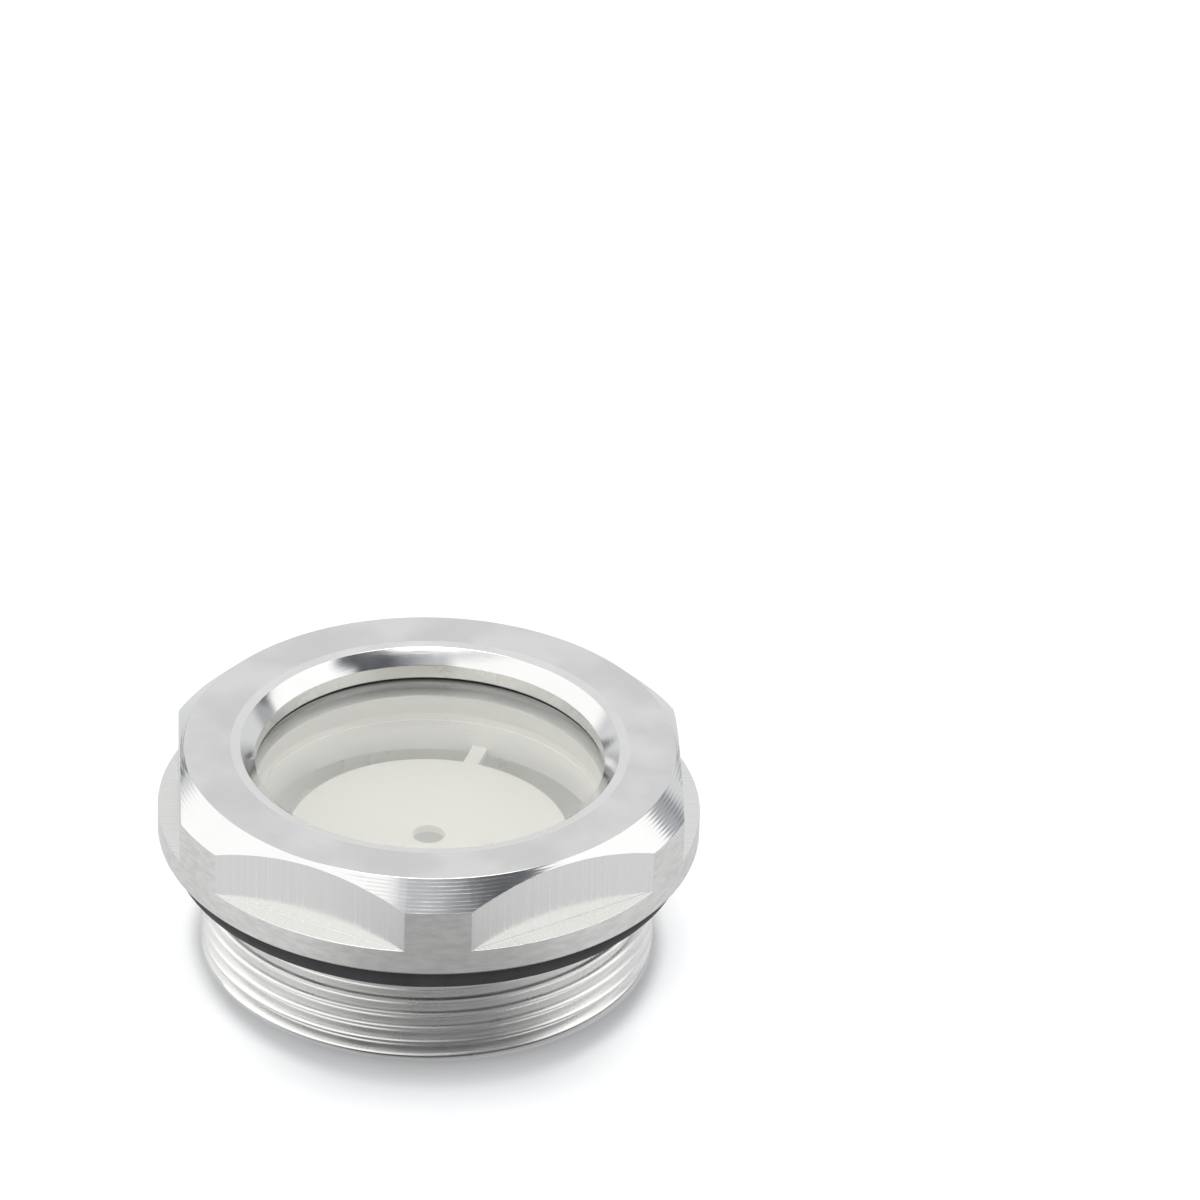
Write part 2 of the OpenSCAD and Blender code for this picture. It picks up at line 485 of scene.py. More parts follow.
def fresh_cut(name, dark, light):
    finish = Finish(name, Metallic=1.0)
    finish.coat(finish.cloud(4 * MM), dark, light, 0.26, 0.34)
    finish.bump(finish.turned_marks(width=0.12 * MM, length=6 * MM, detail=0.0), 0.0008 * MM)
    return finish.material


milled = milled_flat()
flank_metal = fresh_cut("thread_flank_aluminium", (0.86, 0.86, 0.845), (0.9, 0.9, 0.885))
fresh_metal = fresh_cut("fresh_turned_aluminium", (0.92, 0.92, 0.905), (0.95, 0.95, 0.935))
metals = [satin, milled, flank_metal, fresh_metal, bright, matte, rim]
SATIN, MILLED, FLANKS, FRESH, BRIGHT, MATTE, RIM = range(len(metals))
print("metals:", [metal.name for metal in metals])

# %% [markdown]
# The body starts as the outline of the turned blank, from the neck under the flange, up and over its
# top, through the window and down the bore to the spigot's end. The six flats are milled afterwards,
# down to a full round collar. So the outline depends on the angle: where a flat has cut, the wall
# stands nearer to the axis, meets the chamfer higher up and leaves a crescent ledge on the collar.

# %% The outline of the body
flat_r = 23.0 * MM
seat_z, ledge_z = 12.0 * MM, 14.5 * MM
collar_chamfer = 0.2 * MM
chamfer_r, chamfer_z = 22.6 * MM, 18.6 * MM
rim_r, rim_outer_r, rim_z = 17.45 * MM, 18.35 * MM, 20.8 * MM
sight_r, sight_z = 16.1 * MM, 19.6 * MM
ring_seat_r, ring_seat_z = 24.1 * MM, 12.4 * MM
neck_r = 20.6 * MM
thread_top_z = 9.2 * MM
end_r = thread_r - 0.85 * MM
bore_r = glass_r + 0.1 * MM
mouth_chamfer = 0.4 * MM
groove_r = bead_r + 0.1 * MM
groove_end_z, groove_low_z = 9.1 * MM, 9.5 * MM
groove_high_z, groove_start_z = 10.2 * MM, 11.0 * MM


def wall_radius(angle):
    """How far the flange's wall stands from the axis at an angle counted from the middle of a flat."""
    return min(flange_r, flat_r / math.cos(angle))


def body_outline(angle):
    """The blank's outline at that angle, from the neck over the flange and through the bore to the end."""
    wall = wall_radius(angle)
    on_chamfer = top_z - (wall - chamfer_r) * (top_z - chamfer_z) / (flange_r - chamfer_r)
    return [
        (neck_r, thread_top_z),
        (neck_r, ring_seat_z),
        (ring_seat_r, ring_seat_z),
        (ring_seat_r, seat_z),
        (flange_r - collar_chamfer, seat_z),
        (flange_r, seat_z + collar_chamfer),
        (flange_r, ledge_z),
        (wall, ledge_z),
        (wall, on_chamfer),
        (chamfer_r, top_z),
        (rim_outer_r, top_z),
        (rim_r, rim_z),
        (sight_r, sight_z),
        (sight_r, seal_high.z),
        (bore_r, seal_high.z),
        (bore_r, groove_start_z),
        (groove_r, groove_high_z),
        (groove_r, groove_low_z),
        (bore_r, groove_end_z),
        (bore_r, mouth_chamfer),
        (bore_r + mouth_chamfer, 0),
        (end_r, 0),
    ]


print(f"outline of {len(body_outline(0))} corners, flats {2 * flat_r / MM:.0f} mm across")

# %% [markdown]
# A boolean cut would be the quick way to mill the flats, but it leaves ragged triangles along these
# curved edges. Columns that follow the outline at their own angle stay clean. The two columns beside
# the end of a flat move onto the edge, so that it is crisp with a hair of bevel. One sixth is made like
# this, and the tree repeats it.

# %% One sixth of the body
FLAT_COUNT = 6
COLUMNS = 72
EDGE_ROUND = 0.09 * MM
FLAT_END = math.acos(flat_r / flange_r)
FLAT_EDGE_BEVEL = math.radians(0.12)


def body_sector():
    step = math.tau / FLAT_COUNT / COLUMNS
    points = []
    for column in range(COLUMNS + 1):
        even = (column - COLUMNS / 2) * step
        angle = even
        gap = abs(even) - FLAT_END
        if abs(gap) < step:
            angle = math.copysign(FLAT_END + math.copysign(FLAT_EDGE_BEVEL, gap), even)
        outline = rounded(body_outline(angle), EDGE_ROUND)
        for r, z in outline:
            turn = angle if r > rim_outer_r and z > seat_z + collar_chamfer else even
            points.append((r * math.cos(turn), r * math.sin(turn), z))
    print(f"sector: {len(points)} points, {len(outline)} rows")
    return new_object("body_sector", points, column_faces(COLUMNS + 1, len(outline)))


body = body_sector()
apply_tree(body, repeat_around, {"Count": FLAT_COUNT, "Merge Distance": MERGE, "Material": satin})

# %% [markdown]
# The thread follows a rule, so a tree makes it. A grid has one column for each step around the spigot
# and sixteen rows for each turn of the thread. The rows climb by one pitch around the axis, so the
# corners of the thread's profile always fall on a row and stay crisp. At both ends the height is held at
# the end of the thread, and the rows that pile up there are merged. Use has rounded the crests a little,
# so the flanks bend towards the root. The depth fades out below the neck, and a bevel at each end trims
# the first and the last turn.

# %% The rule of the screw thread
CREST_HALF = 1 / 16
FLANK_SHARE = 6 / 16
END_SLOPE = 2.2
CREST_WEAR = 1.3
THREAD_SIZES = (
    "Turns", "Pitch", "Depth", "Crest Radius", "Start Height",
    "Top", "End Radius", "Neck Radius", "Run Out", "Merge Distance",
)


def thread_tree():
    tree = Tree("screw thread")
    do = tree.math
    tree.input("Geometry", "Geometry")
    columns, rows = tree.input("Columns", "Int"), tree.input("Rows", "Int")
    sizes = [tree.input(name, "Float") for name in THREAD_SIZES]
    turns, pitch, depth, crest_r, start_z, top, end_radius, neck_radius, run_out, merge = sizes
    material = tree.input("Material", "Material")
    corners = {"Vertices X": do("ADD", columns, 1), "Vertices Y": do("ADD", rows, 1)}
    grid = tree.node("GeometryNodeMeshGrid", {"Size X": 1.0, "Size Y": 1.0, **corners})
    place = tree.node("GeometryNodeInputPosition", {})
    split = tree.node("ShaderNodeSeparateXYZ", {"Vector": place.outputs[0]})
    turn, row = do("ADD", split.outputs["X"], 0.5), do("ADD", split.outputs["Y"], 0.5)
    climbed = do("MULTIPLY", do("ADD", do("MULTIPLY", row, turns), turn), pitch)
    z = do("MINIMUM", do("MAXIMUM", do("ADD", start_z, climbed), 0.0), top)
    phase = do("SUBTRACT", do("DIVIDE", do("SUBTRACT", z, start_z), pitch), turn)
    down_flank = do("DIVIDE", do("SUBTRACT", do("PINGPONG", phase, 0.5), CREST_HALF), FLANK_SHARE)
    share = do("POWER", do("MINIMUM", do("MAXIMUM", down_flank, 0.0), 1.0), CREST_WEAR)
    fade = do("MINIMUM", do("DIVIDE", do("SUBTRACT", top, z), run_out), 1.0)
    cut = do("MULTIPLY", do("MULTIPLY", share, fade), depth)
    end_bevel = do("MULTIPLY_ADD", z, END_SLOPE, end_radius)
    neck_bevel = do("ADD", neck_radius, do("SUBTRACT", top, z))
    r = do("MINIMUM", do("SUBTRACT", crest_r, cut), do("MINIMUM", end_bevel, neck_bevel))
    angle = do("MULTIPLY", turn, math.tau)
    x, y = do("MULTIPLY", r, do("COSINE", angle)), do("MULTIPLY", r, do("SINE", angle))
    where = tree.node("ShaderNodeCombineXYZ", {"X": x, "Y": y, "Z": z})
    sockets = {"Geometry": grid.outputs[0], "Position": where.outputs[0]}
    tree.finish(tree.node("GeometryNodeSetPosition", sockets).outputs[0], merge, material)
    return tree


screw_thread = thread_tree()
print("inputs:", list(screw_thread.identifiers))

# %% [markdown]
# The tree starts from its own grid, so an empty mesh will do as its object. The pitch is the standard
# fine one for this diameter. With as many columns as the flange, the two meshes meet point by point.

# %% The screw thread
PITCH = 1.5 * MM
ROWS_PER_TURN = 16
THREAD_TURNS = 8
THREAD_DEPTH = 0.613 * PITCH
CREST_Z = 0.914 * MM
RUN_OUT = 0.8 * MM

thread = new_object("thread", [], [])
thread_values = {
    "Columns": FLAT_COUNT * COLUMNS,
    "Rows": THREAD_TURNS * ROWS_PER_TURN,
    "Turns": float(THREAD_TURNS),
    "Pitch": PITCH,
    "Depth": THREAD_DEPTH,
    "Crest Radius": thread_r,
    "Start Height": CREST_Z - 2 * PITCH,
    "Top": thread_top_z,
    "End Radius": end_r,
    "Neck Radius": neck_r,
    "Run Out": RUN_OUT,
    "Merge Distance": MERGE,
    "Material": flank_metal,
}
apply_tree(thread, screw_thread, thread_values)

# %% [markdown]
# Each face gets the finish of the tool that made it. One could paint the faces by hand, but a rule on
# where a face lies and which way it looks does the same, and still holds when a size changes.

# %% Which finish a face has
UPRIGHT, SLOPING, LEVEL, QUITE_LEVEL = 0.05, 0.3, 0.95, 0.98


def finish_of(centre, normal):
    """The finish that a face of the blank has from the tool that cut it."""
    from_axis = math.hypot(centre.x, centre.y)
    upright = abs(normal.z) < UPRIGHT
    if normal.z > LEVEL and abs(centre.z - ledge_z) < EDGE_ROUND:
        return MILLED
    if upright and centre.z > ledge_z and chamfer_r < from_axis < flange_r - EDGE_ROUND / 4:
        return MILLED
    if SLOPING < normal.z < QUITE_LEVEL and centre.z > sight_z - EDGE_ROUND:
        return BRIGHT
    if normal.z > QUITE_LEVEL and rim_r < from_axis < rim_outer_r:
        return RIM
    if upright and from_axis > flat_r:
        return MATTE
    if upright and from_axis < rim_outer_r:
        return RIM if centre.z > seal_high.z else FRESH
    return SATIN


print("the bore's wall is", metals[FRESH].name)

# %% [markdown]
# Thread and blank are one piece of metal, so their meshes are joined along the two rings that they
# share. The flats get a map that runs straight along them, for the milling marks. The roots of the
# thread are shaded smooth, as a worn tool tip leaves them.

# %% Join the thread and the blank
ROOT_SHARE = 0.9


def join_body():
    shape = bmesh.new()
    shape.from_mesh(body.data)
    first_thread_face = len(shape.faces)
    shape.from_mesh(thread.data)
    shape.faces.ensure_lookup_table()
    for face in shape.faces[first_thread_face:]:
        on_crest = all(math.hypot(v.co.x, v.co.y) > thread_r - MERGE for v in face.verts)
        face.material_index = FRESH if on_crest else FLANKS
    bmesh.ops.remove_doubles(shape, verts=shape.verts, dist=MERGE)
    bmesh.ops.dissolve_degenerate(shape, edges=shape.edges, dist=NO_AREA)
    bmesh.ops.recalc_face_normals(shape, faces=shape.faces)
    straight = shape.loops.layers.uv.new("along the flat")
    sixth = math.tau / FLAT_COUNT
    for face in shape.faces:
        face.smooth = True
        centre = face.calc_center_median()
        if face.material_index == SATIN:
            face.material_index = finish_of(centre, face.normal)
        turn = sixth * round(math.atan2(centre.y, centre.x) / sixth)
        for loop in face.loops:
            x, y, z = loop.vert.co
            loop[straight].uv = (y * math.cos(turn) - x * math.sin(turn) + turn, z)
    shape.to_mesh(body.data)
    shape.free()


def smooth_roots():
    """Clears the sharp edges at the bottom of the thread."""
    root_r = thread_r - ROOT_SHARE * THREAD_DEPTH
    for edge in body.data.edges:
        ends = [body.data.vertices[v].co for v in edge.vertices]
        if all(rim_outer_r < math.hypot(p.x, p.y) < root_r and 0 < p.z < thread_top_z for p in ends):
            edge.use_edge_sharp = False


body.name = "body_turned_and_milled"
body.data.materials.clear()
for metal in metals:
    body.data.materials.append(metal)
join_body()
bpy.data.objects.remove(thread)
body.data.set_sharp_from_angle(angle=math.radians(35))
smooth_roots()
report(body)

# %% [markdown]
# Smooth shading spreads the tilt of a narrow edge over the wide face beside it. Weighted normals let the
# wide face win, so level faces look level and the rounds stay narrow.

# %% Weighted normals


def weight_normals(piece):
    modifier = piece.modifiers.new("weighted normals", "WEIGHTED_NORMAL")
    modifier.keep_sharp = True
    bake(piece, modifier)


weight_normals(body)
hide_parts("body")
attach(body, "root")
print("body rides on root")

# %% [markdown]
# The O-ring, the flat seal and the pane are rings or discs. A Screw modifier could spin their outlines,
# but with the points in hand the last step joins the first, so no seam is left to merge. The same short
# helper makes all three.

# %% Spin a closed outline
SPIN_STEPS = 288


def spun(name, outline, smooth_angle):
    """A ring, or a disc where the outline reaches the axis, from a closed outline of (radius, height)."""
    points, faces = [], []
    rows = len(outline)
    for step in range(SPIN_STEPS):
        points += in_plane(outline, math.tau * step / SPIN_STEPS)
    for step in range(SPIN_STEPS):
        here, there = step * rows, (step + 1) % SPIN_STEPS * rows
        for row in range(rows):
            after = (row + 1) % rows
            faces.append((here + row, here + after, there + after, there + row))
    piece = new_object(name, points, faces)
    clean(piece, smooth_angle)
    report(piece)
    return piece


print(f"spun in {SPIN_STEPS} steps")

# %% [markdown]
# Both seals are black rubber. Rubber isn't pure black: it is a very dark grey with a dull sheen, and a
# little dust makes the O-ring paler than the seal behind the lip. A fine grain breaks up the sheen.

# %% Black rubber


def rubber(name, dusty):
    finish = Finish(name, Specular_IOR_Level=0.25)
    grain = finish.cloud(0.12 * MM, 4.0)
    dust = finish.cloud(3 * MM)
    finish.set("Base Color", finish.tint(dust, (0.03, 0.03, 0.032), dusty))
    finish.set("Roughness", finish.ramp(grain, 0.55, 0.7))
    finish.bump(grain, 0.004 * MM)
    return finish.material


ring_rubber = rubber("o_ring_rubber", (0.058, 0.058, 0.06))
seal_rubber = rubber("flat_seal_rubber", (0.035, 0.035, 0.037))
print("rubbers:", ring_rubber.name, seal_rubber.name)

# %% [markdown]
# The O-ring lies around the neck and seals the flange against the tank. A torus would be near enough
# from afar, but a moulded ring has a hair of flash where the two halves of the mould met. So its
# section is a circle that stands out a little at the seam, and this outline is spun.

# %% The O-ring under the flange
RING_STEPS = 40
FLASH_HEIGHT = 0.03 * MM
AT_SEAM = 0.01
ring_r = (ring_high.z - ring_low.z) / 2
ring_path_r = ring_high.x - ring_r
ring_z = (ring_high.z + ring_low.z) / 2


def ring_outline():
    """A round section with a hair of mould flash inside and outside."""
    outline = []
    for step in range(RING_STEPS):
        angle = math.tau * step / RING_STEPS
        on_seam = abs(math.sin(angle)) < AT_SEAM
        r = ring_r if on_seam else ring_r - FLASH_HEIGHT
        outline.append((ring_path_r + r * math.cos(angle), ring_z + r * math.sin(angle)))
    return outline


o_ring = spun("o_ring", ring_outline(), smooth_angle=60)
o_ring.data.materials.append(ring_rubber)
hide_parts("flange_o_ring")
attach(o_ring, "root")

# %% [markdown]
# A thin flat ring lies between the lip and the glass and keeps the oil in. Only its inner edge shows, as
# a dark line round the pane. It is cut from sheet, so it is a plain rectangle in section with soft
# corners.

# %% The flat seal under the lip
seal_in_r = sight_r + 0.1 * MM
seal_round = 0.06 * MM


def closed_round(outline, radius):
    """A closed outline with every corner rounded."""
    first = (np.array(outline[0]) + np.array(outline[-1])) / 2
    return rounded([tuple(first), *outline, tuple(first)], radius)[:-1]


seal_corners = [
    (seal_in_r, seal_low.z),
    (glass_r, seal_low.z),
    (glass_r, seal_high.z),
    (seal_in_r, seal_high.z),
]
flat_seal = spun("flat_seal", closed_round(seal_corners, seal_round), smooth_angle=40)
flat_seal.data.materials.append(seal_rubber)
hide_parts("glass_seal")
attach(flat_seal, "root")

# %% [markdown]
# The pane is clear glass with polished faces and a ground rim. Rays that look for a light can't find
# their way through a glass shader, so such rays pass straight through, and the cup behind the pane isn't
# left dark. The ground rim's colour follows the height: white low down, and darker towards the top as
# painted shade, where the lip and the black seal keep the light off.

# %% Glass
PAINTED_SHADE_LOW, PAINTED_SHADE_HIGH = glass_high.z - 3.2 * MM, glass_high.z - 2.4 * MM


def clear_glass():
    finish = Finish("clear_glass")
    finish.nodes.remove(finish.shader)
    glass = finish.node("ShaderNodeBsdfGlass", {"Color": (0.995, 0.995, 0.99, 1), "IOR": 1.52})
    finish.links.new(finish.ramp(finish.cloud(5 * MM), 0.0, 0.012), glass.inputs["Roughness"])
    through = finish.node("ShaderNodeBsdfTransparent", {"Color": (0.98, 0.98, 0.975, 1)})
    path = finish.node("ShaderNodeLightPath", {})
    finish.show(finish.blend(path.outputs["Is Shadow Ray"], glass, through))
    return finish.material


def ground_glass():
    finish = Finish("ground_glass_rim", Specular_IOR_Level=0.4)
    frost = finish.cloud(0.08 * MM, 4.0)
    height = finish.place()[2]
    # Painted shade: the rim's colour darkens towards the top, under the lip and the seal.
    white = finish.ramp(height, 1.0, 0.0, PAINTED_SHADE_LOW, PAINTED_SHADE_HIGH)
    finish.set("Base Color", finish.tint(white, (0.3, 0.3, 0.28), (0.98, 0.98, 0.965)))
    finish.set("Roughness", finish.ramp(frost, 0.5, 0.7))
    finish.bump(frost, 0.004 * MM)
    return finish.material


pane_glass, rim_glass = clear_glass(), ground_glass()
print("glass:", pane_glass.name, rim_glass.name)

# %% [markdown]
# The pane itself is a disc with both edges bevelled, as a cutter grinds them so that they don't chip. It
# is spun as well. Faces on the rim and on the bevels get the ground finish.

# %% The pane
CLEAR, GROUND = 0, 1
SLACK = 0.01 * MM
glass_bevel = 0.3 * MM

pane_corners = [
    (0, glass_low.z),
    (glass_r - glass_bevel, glass_low.z),
    (glass_r, glass_low.z + glass_bevel),
    (glass_r, glass_high.z - glass_bevel),
    (glass_r - glass_bevel, glass_high.z),
    (0, glass_high.z),
]
pane = spun("glass_pane", pane_corners, smooth_angle=30)
pane.data.materials.append(pane_glass)
pane.data.materials.append(rim_glass)
for face in pane.data.polygons:
    on_rim = math.hypot(face.center.x, face.center.y) > glass_r - glass_bevel - SLACK
    face.material_index = GROUND if on_rim else CLEAR
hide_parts("glass_disc")
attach(pane, "root")

# %% [markdown]
# The cup is white plastic, which lets some light through where it is thin. Its wall hardly does, but the
# disc glows a little from the light that comes in behind it. Subsurface scattering would be slow here,
# so a share of Translucent shader does it, on the disc and the spokes alone.

# %% White plastic
SEEN_THROUGH = 0.62
disc_top_z = cup_low.z + 0.8 * MM
disc_r = 13.0 * MM
cup_out_r = bore_r - 0.15 * MM
cup_in_r = cup_out_r - 1.85 * MM
FADE_UP = disc_top_z + 0.1 * MM, disc_top_z + 0.4 * MM
FADE_OUT = disc_r, cup_in_r - 0.1 * MM


def white_plastic():
    finish = Finish("white_moulded_plastic", Specular_IOR_Level=0.25)
    mottle = finish.cloud(5 * MM)
    grain = finish.cloud(0.15 * MM, 3.0)
    finish.set("Base Color", finish.tint(mottle, (0.95, 0.945, 0.92), (0.975, 0.97, 0.945)))
    finish.set("Roughness", finish.ramp(grain, 0.45, 0.6))
    finish.bump(grain, 0.002 * MM)
    height, radius = finish.place()[2:]
    low = finish.ramp(height, SEEN_THROUGH, 0.0, *FADE_UP)
    thin = finish.math("MULTIPLY", low, finish.ramp(radius, 1.0, 0.0, *FADE_OUT))
    through = finish.node("ShaderNodeBsdfTranslucent", {"Color": (0.97, 0.96, 0.93, 1)})
    finish.show(finish.blend(thin, finish.shader, through))
    return finish.material


plastic = white_plastic()
print("plastic:", plastic.name)

# %% [markdown]
# The cup is one moulding: a wall with a fine step inside and a snap bead outside, and a disc that three
# spokes carry, so the oil can come in through the arc slots around it. The spokes have straight sides,
# so the columns beside a spoke lie at a slightly smaller angle on the wall than on the disc.

# %% The outline and the columns of the cup
SPOKE_COUNT = 3
SPOKE_ANGLE = math.radians(70.5)
SPOKE_COLUMNS = 6
ARC_COLUMNS = 60
spoke_half = 0.75 * MM
hole_r = 1.5 * MM
step_r, step_z = cup_in_r + 0.1 * MM, disc_top_z + 2.4 * MM
upper_r = step_r + 0.06 * MM
cup_bevel = 0.1 * MM
bead_end_z = cup_low.z + 1.0 * MM
bead_low_z, bead_high_z = bead_end_z + 0.45 * MM, bead_end_z + 0.95 * MM
bead_start_z = bead_end_z + 1.85 * MM
cup_top_z = cup_high.z - 0.03 * MM


def wall_outline():
    """The cup's wall from the disc's top inside, over the edge and the bead, to its lower inner edge."""
    return [
        (cup_in_r, disc_top_z),
        (step_r, step_z),
        (upper_r, step_z),
        (upper_r, cup_top_z),
        (cup_out_r - cup_bevel, cup_top_z),
        (cup_out_r, cup_top_z - cup_bevel),
        (cup_out_r, bead_start_z),
        (bead_r, bead_high_z),
        (bead_r, bead_low_z),
        (cup_out_r, bead_end_z),
        (cup_out_r, cup_low.z),
        (cup_in_r, cup_low.z),
    ]


def column_angles(radius):
    """The angles of one third's columns at that radius, with the spoke's columns first."""
    third = math.tau / SPOKE_COUNT
    half = math.asin(spoke_half / radius)
    spoke = np.linspace(-half, half, SPOKE_COLUMNS + 1)
    arc = np.linspace(half, third - half, ARC_COLUMNS + 1)
    return SPOKE_ANGLE + np.concatenate([spoke, arc[1:]])


print(f"cup wall {cup_in_r / MM:.2f} to {cup_out_r / MM:.2f} mm, disc {disc_r / MM:.1f} mm")

# %% [markdown]
# One third of the cup is laid out in strips of columns: the wall, the disc, the sides of the slot, and
# the top, underside and sides of the spoke. A strip is a row of columns, and a small inner function
# turns each into faces. The tree of the flange then repeats the third and merges the seams.

# %% One third of the cup
WALL_ROUND = 0.12 * MM


def cup_sector():
    points, faces = [], []

    def strip(lines):
        """Faces along neighbouring lines of points."""
        faces.extend(column_faces(len(lines), len(lines[0]), start=len(points)))
        for line in lines:
            points.extend(line)

    def spoke_line(column, z):
        """From the wall to the disc at one height."""
        return in_plane([(cup_in_r, z)], on_wall[column]) + in_plane([(disc_r, z)], on_disc[column])

    on_wall, on_disc = column_angles(cup_in_r), column_angles(disc_r)
    levels = cup_low.z, disc_top_z
    wall_rows = rounded(wall_outline(), WALL_ROUND)
    disc_rows = [(disc_r, disc_top_z), (hole_r, disc_top_z), (hole_r, cup_low.z), (disc_r, cup_low.z)]
    strip([in_plane(wall_rows, angle) for angle in on_wall])
    strip([in_plane([(cup_in_r, z) for z in levels], angle) for angle in on_wall[SPOKE_COLUMNS:]])
    strip([in_plane(disc_rows, angle) for angle in on_disc])
    strip([in_plane([(disc_r, z) for z in levels], angle) for angle in on_disc[SPOKE_COLUMNS:]])
    for z in levels:
        strip([spoke_line(column, z) for column in range(SPOKE_COLUMNS + 1)])
    for column in (0, SPOKE_COLUMNS):
        strip([spoke_line(column, z) for z in levels])
    return new_object("cup_sector", points, faces)


cup = cup_sector()
apply_tree(cup, repeat_around, {"Count": SPOKE_COUNT, "Merge Distance": MERGE, "Material": plastic})
cup.name = "reflector_cup"
clean(cup, smooth_angle=40)
report(cup)

# %% [markdown]
# Plastic doesn't fill a mould's sharp corners, so the edges of slots, spokes and hole are softened.
# These edges cross each other, which an outline can't follow, so here a Bevel modifier is the better
# way. Its hardened normals keep the faces beside a bevel even.

# %% Soften the cup's edges
EDGE_SOFT = 0.1 * MM


def soften(piece, width, angle):
    bevel = piece.modifiers.new("moulded edges", "BEVEL")
    bevel.width = width
    bevel.segments = 2
    bevel.limit_method = "ANGLE"
    bevel.angle_limit = math.radians(angle)
    bevel.harden_normals = True
    bake(piece, bevel)


soften(cup, EDGE_SOFT, angle=50)
report(cup)
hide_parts("reflector")
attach(cup, "root")

# %% [markdown]
# The camera stands about a metre away with a long lens, a little above the part, as for a catalogue
# picture. Its place comes from the edges of the part in that picture. The part isn't in the middle of
# the frame, so the camera is turned until the aim point falls on its pixel, and no lens shift is needed.

# %% Camera
IMAGE_SIZE = 1200
FOCAL_PIXELS = 10595
SENSOR = 36.0
CAMERA_AZIMUTH = math.radians(-92.373)
CAMERA_ELEVATION = math.radians(32.524)
CAMERA_DISTANCE = 979.0 * MM
CAMERA_ROLL = math.radians(1.049)
AIM_PIXEL = (428.54, 826.83)
aim = Vector((0, 0, seat_z))


def outward_direction():
    """From the part towards the camera."""
    level = math.cos(CAMERA_ELEVATION)
    x, y = level * math.cos(CAMERA_AZIMUTH), level * math.sin(CAMERA_AZIMUTH)
    return Vector((x, y, math.sin(CAMERA_ELEVATION)))


def place_camera():
    camera_data = bpy.data.cameras.new("camera")
    camera_data.sensor_width = SENSOR
    camera_data.lens = FOCAL_PIXELS / IMAGE_SIZE * SENSOR
    camera_object = bpy.data.objects.new("camera", camera_data)
    bpy.context.scene.collection.objects.link(camera_object)
    outward = outward_direction()
    camera_object.location = aim + CAMERA_DISTANCE * outward
    facing = (-outward).to_track_quat("-Z", "Y")
    roll = Quaternion((0, 0, 1), CAMERA_ROLL)
    across = (AIM_PIXEL[0] - IMAGE_SIZE / 2) / FOCAL_PIXELS
    down = (AIM_PIXEL[1] - IMAGE_SIZE / 2) / FOCAL_PIXELS
    pixel_ray = Vector((across, -down, -1)).normalized()
    turn = Vector((0, 0, -1)).rotation_difference(pixel_ray)
    camera_object.rotation_mode = "QUATERNION"
    camera_object.rotation_quaternion = facing @ roll @ turn.inverted()
    bpy.context.scene.camera = camera_object
    return camera_object


camera = place_camera()
print("camera at", [round(x, 4) for x in camera.location])

# %% [markdown]
# The part stands on a plain white table. A little glow lifts the paper to white without any more light on
# the part. The glow is painted light that also shapes the shadow: there is none in the shade near the part,
# which reaches further out in front than at the sides, and more beside the part, where the boxes of light
# stand, so the shadow stays narrow there. A thin ring of painted light lies where part and table touch, so
# that line isn't black.

# %% How the paper glows
FLOOR_GLOW = 0.07
SIDE_PAINTED_LIGHT, LIFT_TURN = 0.3, (math.radians(15), math.radians(60))
LIFT_FADE = 24 * MM, 34 * MM
SHADE_FRONT, SHADE_SIDE, SHADE_SOFT = 24 * MM, 20.5 * MM, 2.3 * MM
SHADE_TURN = math.radians(85)
CONTACT_PAINTED_LIGHT = 0.16
CONTACT_RISE, CONTACT_FADE = (bore_r + 0.8 * MM, end_r), (20.7 * MM, 21.1 * MM)


def paper_glow(finish, aside, radius):
    """Painted light on the paper, by the angle from the front and the distance from the axis."""
    # Painted light beside the part, which keeps the shadow narrow at the sides.
    painted_side_light = finish.ramp(aside, 0.0, SIDE_PAINTED_LIGHT, *LIFT_TURN)
    painted_side_light = finish.math("MULTIPLY", painted_side_light, finish.ramp(radius, 1.0, 0.0, *LIFT_FADE))
    shade_end = finish.ramp(aside, SHADE_FRONT, SHADE_SIDE, 0.0, SHADE_TURN)
    open_floor = finish.ramp(finish.math("SUBTRACT", radius, shade_end), 0.0, 1.0, 0.0, SHADE_SOFT)
    # A thin ring of painted light where part and table touch.
    painted_contact_light = finish.ramp(radius, 0.0, CONTACT_PAINTED_LIGHT, *CONTACT_RISE)
    painted_contact_light = finish.math("MULTIPLY", painted_contact_light, finish.ramp(radius, 1.0, 0.0, *CONTACT_FADE))
    return finish.math("MULTIPLY_ADD", finish.math("ADD", painted_side_light, FLOOR_GLOW), open_floor, painted_contact_light)


print(f"open paper glows by {FLOOR_GLOW}")

# %% [markdown]
# A real table gets darker towards the camera, away from the light. The frame ends before that shows, but
# the metal mirrors it, so mirrored rays see painted shade in the paper's colour: most straight in front,
# less to the sides, a little more close to the part as a painted shadow, and not at all inside the bore.

# %% Floor
FLOOR_HALF = 4.0
PAPER, UNLIT = (0.83, 0.835, 0.85), (0, 0, 0)
NEAR_LOSS, FRONT_LOSS, SIDE_LOSS = 0.78, 0.62, 0.34
NEAR, FRONT = 28 * MM, 48 * MM
DIM_AZIMUTH = CAMERA_AZIMUTH + math.radians(4)
FALL_OFF = math.radians(16), math.radians(52)


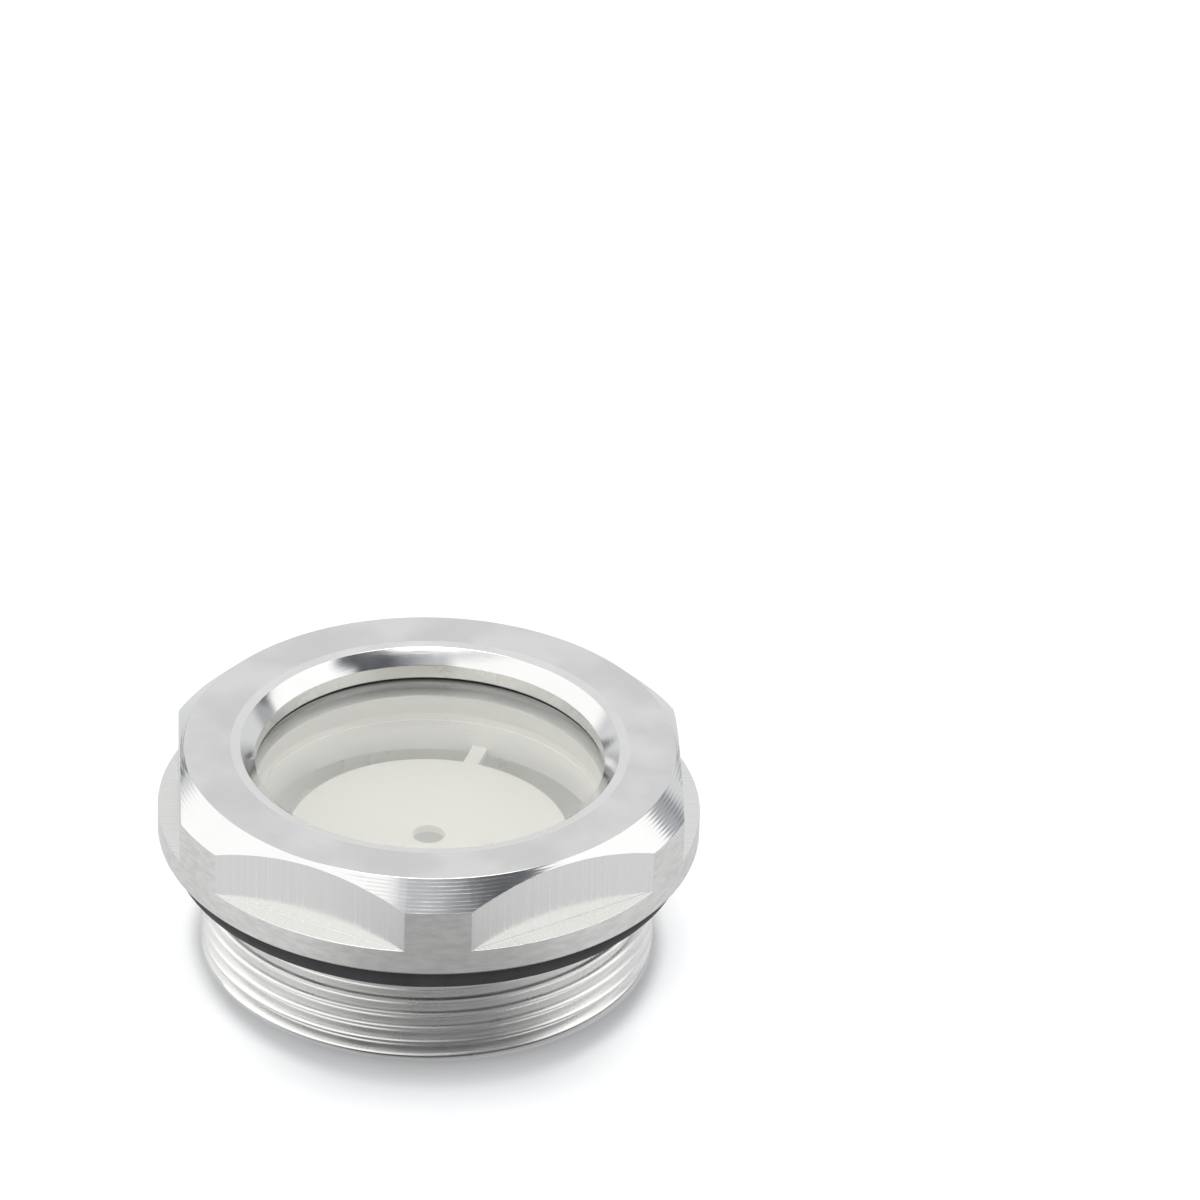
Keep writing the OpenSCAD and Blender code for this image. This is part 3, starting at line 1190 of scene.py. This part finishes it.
def floor_material():
    finish = Finish("white_table")
    finish.nodes.remove(finish.shader)
    path = finish.node("ShaderNodeLightPath", {})
    mirror_ray = path.outputs["Is Glossy Ray"]
    seen = finish.math("MAXIMUM", path.outputs["Is Camera Ray"], path.outputs["Is Transmission Ray"])
    seen = finish.math("MAXIMUM", seen, mirror_ray)
    x, y, _, radius = finish.place()
    aside = finish.apart(x, y, DIM_AZIMUTH)
    in_front = finish.ramp(radius, NEAR_LOSS, FRONT_LOSS, NEAR, FRONT)
    loss = finish.ramp(aside, in_front, SIDE_LOSS, *FALL_OFF)
    around = finish.ramp(radius, 0.0, 1.0, bore_r, thread_r)
    # Painted shade in the paper's colour, seen by mirrored rays alone.
    mirrored_painted_shade = finish.math("MULTIPLY", mirror_ray, finish.math("MULTIPLY", loss, around))
    paper = finish.node("ShaderNodeBsdfDiffuse", {"Color": finish.tint(mirrored_painted_shade, PAPER, UNLIT)})
    level = finish.math("MULTIPLY", seen, paper_glow(finish, aside, radius))
    glow = finish.node("ShaderNodeEmission", {"Strength": level})
    finish.show(finish.node("ShaderNodeAddShader", {0: paper.outputs[0], 1: glow.outputs[0]}))
    return finish.material


floor_corners = [(x * FLOOR_HALF, y * FLOOR_HALF, 0) for x, y in ((-1, -1), (1, -1), (1, 1), (-1, 1))]
floor = new_object("floor", floor_corners, [(0, 1, 2, 3)])
floor.data.materials.append(floor_material())
print(f"floor of {2 * FLOOR_HALF:.0f} m laid")

# %% [markdown]
# Bright metal shows its surroundings more than its colour, so the room matters more than the metal.
# Area lamps would do, but their edges would have to be placed by trial. Here the room is painted on the
# sky by direction, so each patch that a chamfer mirrors has its direction, and every shadow is soft.
# Directions are counted from the camera's right, counter-clockwise seen from above.

# %% A sky painted by direction
ROOM_LEVEL = 0.13
COOL, NEUTRAL = (0.93, 0.97, 1.06), (1.0, 1.0, 0.99)


class Room(NodePainter):
    """The sky, painted by direction with soft-edged boxes of light."""

    def __init__(self, world):
        super().__init__(world.node_tree)
        split = self.node("ShaderNodeSeparateXYZ", {"Vector": self.coordinates.outputs["Generated"]})
        self.x, self.y, height = split.outputs
        self.elevation = self.math("ARCSINE", height)
        self.level = ROOM_LEVEL

    def edge(self, distance, half, soft):
        """One inside a box's half width, zero outside, with a soft edge."""
        half, soft = math.radians(half), math.radians(soft)
        return self.ramp(distance, 1.0, 0.0, half - soft, half + soft)

    def light(self, azimuth, half_width, elevation, half_height, level, soft, soft_up):
        """Paints a box over what is there, its middle, half sizes and soft edges in degrees."""
        middle = math.radians(azimuth) + CAMERA_AZIMUTH + math.pi / 2
        beside = self.edge(self.apart(self.x, self.y, middle), half_width, soft)
        up = self.math("ABSOLUTE", self.math("SUBTRACT", self.elevation, math.radians(elevation)))
        inside = self.math("MULTIPLY", beside, self.edge(up, half_height, soft_up))
        change = self.math("SUBTRACT", level, self.level)
        self.level = self.math("MULTIPLY_ADD", inside, change, self.level)

    def hang(self):
        background = self.nodes["Background"]
        self.links.new(self.tint(self.level, COOL, NEUTRAL), background.inputs["Color"])
        self.links.new(self.level, background.inputs["Strength"])


world = bpy.data.worlds.new("studio")
world.use_nodes = True
room = Room(world)
print("a dim room of level", ROOM_LEVEL)

# %% [markdown]
# The room is lit as a photo table is: a pale wall behind, a ceiling panel, a large soft box on the left
# and a smaller one on the right. The camera's side stays dim apart from a weak patch high up, and that
# is what the dark patches on the chamfers mirror. Small boxes beside the right one, and two gaps
# that are dimmer, give the chamfers the breaks in their shine that real metal has in a real room.

# %% Studio light
# azimuth, half width, elevation, half height, level, soft edge at the sides, soft edge above and below
lights = {
    "wall behind": (88, 50, 30, 28, 0.84, 5, 8),
    "ceiling panel": (90, 200, 90, 22, 4.2, 6, 5),
    "weak patch above the camera": (262, 26, 58, 10, 0.62, 22, 6),
    "left soft box": (196, 57, 31, 33, 1.27, 8, 6),
    "right soft box": (0, 29, 26, 26, 1.3, 3, 4),
    "box in front of the right one": (-36, 12, 29, 11, 1.32, 4, 5),
    "box above the right one": (18, 28, 57, 10, 1.4, 6, 5),
    "gap behind the right one": (33, 5, 21, 6, 0.5, 3, 3),
    "gap low at the back left": (132, 4, 9, 3, 0.22, 2, 2),
}
for row in lights.values():
    room.light(*row)
room.hang()
bpy.context.scene.world = world
print("painted:", ", ".join(lights))

# %% [markdown]
# The view transform is set to Standard, so a colour shows as it is written.

# %% Hand over
bpy.context.scene.view_settings.view_transform = "Standard"
